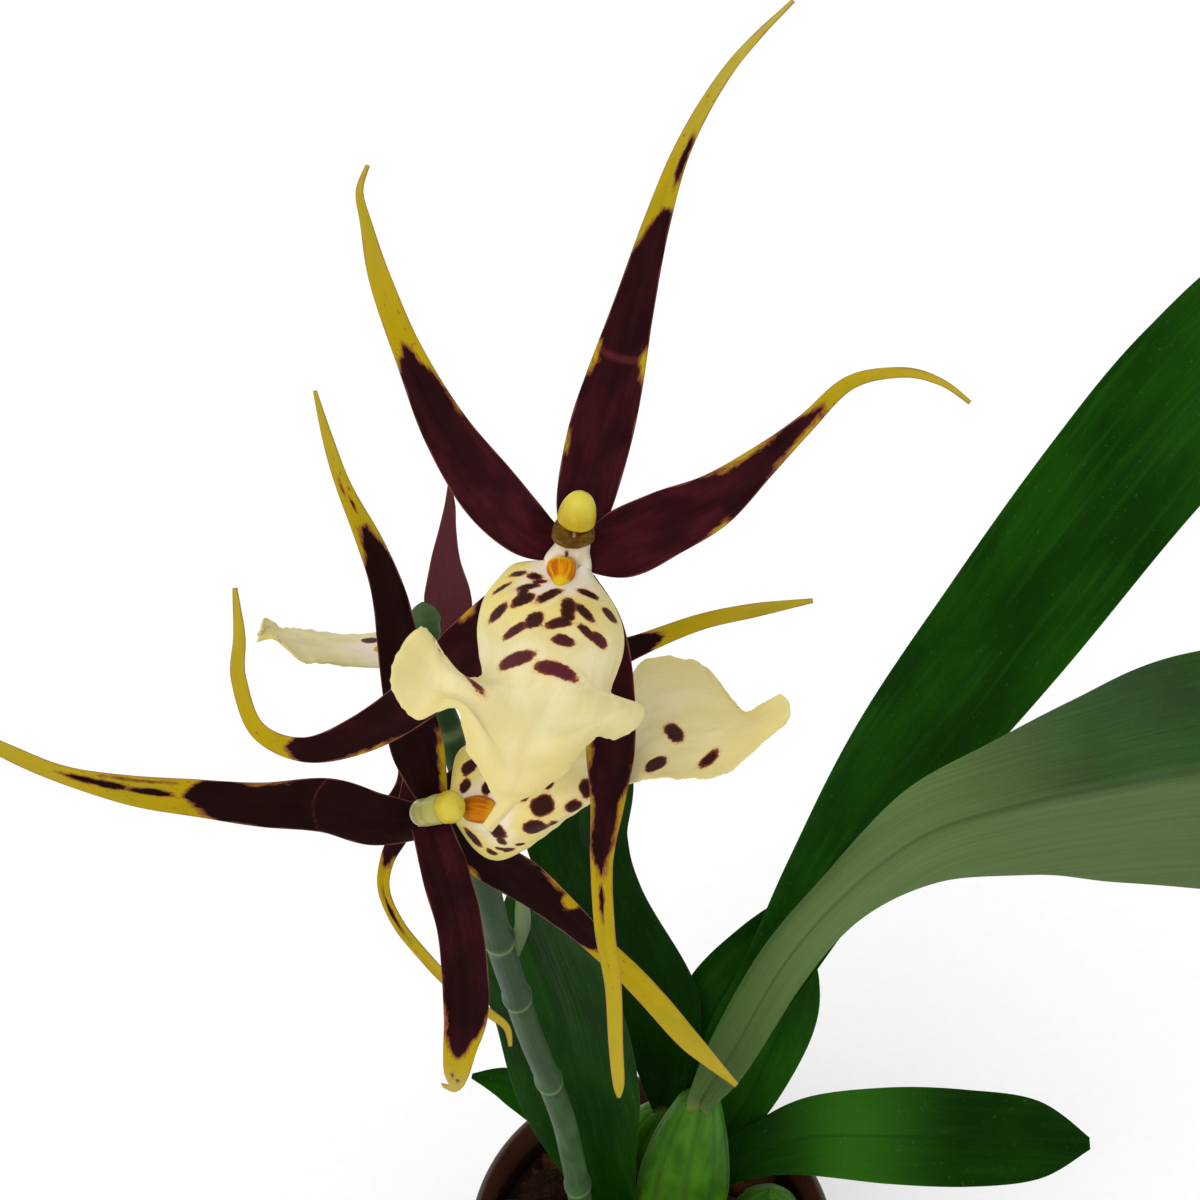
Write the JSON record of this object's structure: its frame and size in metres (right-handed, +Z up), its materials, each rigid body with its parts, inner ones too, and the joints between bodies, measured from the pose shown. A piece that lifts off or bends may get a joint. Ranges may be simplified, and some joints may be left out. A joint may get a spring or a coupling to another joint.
{
  "type": "potted brassia orchid",
  "caption": "Living orchid in a round pot with a bark bed: strap leaves, swollen stem bases and an arching flower spike with long-armed spidery flowers.",
  "frame": {"origin": "centre of the pot's foot, on the surface it stands on", "axes": "+Z up out of the pot, -Y towards the side the flowers face, +X towards the side the strap leaves arch to"},
  "size_m": [0.3232, 0.2294, 0.5705],
  "materials": {
    "pot": "dark brown glossy moulded plastic",
    "bark": "rough broken conifer bark",
    "bulb": "smooth waxy green with fine lengthwise ribs",
    "leaf": "satin dark green with lengthwise veins",
    "spike": "smooth grey green with a waxy bloom",
    "tepal": "soft satin dark maroon with yellow tips and margins",
    "lip": "soft matte cream with maroon spots near its base",
    "column": "waxy cream to green with an olive brown collar",
    "cap": "waxy yellow"
  },
  "bodies": {
    "root": {"pot": "pot", "bark_bed": "bark", "bark_chip_1": "bark", "bark_chip_2": "bark", "bark_chip_3": "bark", "bark_chip_4": "bark", "front_bulb": "bulb", "right_bulb": "bulb", "back_bulb": "bulb", "tall_leaf": "leaf", "arching_leaf": "leaf", "low_leaf": "leaf", "dark_leaf": "leaf", "young_leaf": "leaf", "small_leaf": "leaf", "back_leaf": "leaf", "side_leaf": "leaf", "base_leaf": "leaf", "spike": "spike", "spike_tip_bud": "spike", "lower_bract": "spike", "upper_bract": "spike", "front_dorsal_sepal": "tepal", "front_left_petal": "tepal", "front_right_petal": "tepal", "front_left_lateral_sepal": "tepal", "front_right_lateral_sepal": "tepal", "front_lip": "lip", "front_column": "column", "front_anther_cap": "cap", "front_ovary": "spike", "lower_dorsal_sepal": "tepal", "lower_right_petal": "tepal", "lower_left_petal": "tepal", "lower_left_lateral_sepal": "tepal", "lower_right_lateral_sepal": "tepal", "lower_lip": "lip", "lower_column": "column", "lower_anther_cap": "cap", "lower_ovary": "spike", "back_dorsal_sepal": "tepal", "back_right_petal": "tepal", "back_left_petal": "tepal", "back_right_lateral_sepal": "tepal", "back_left_lateral_sepal": "tepal", "back_lip": "lip", "back_column": "column", "back_anther_cap": "cap", "back_ovary": "spike"}
  },
  "joints": []
}
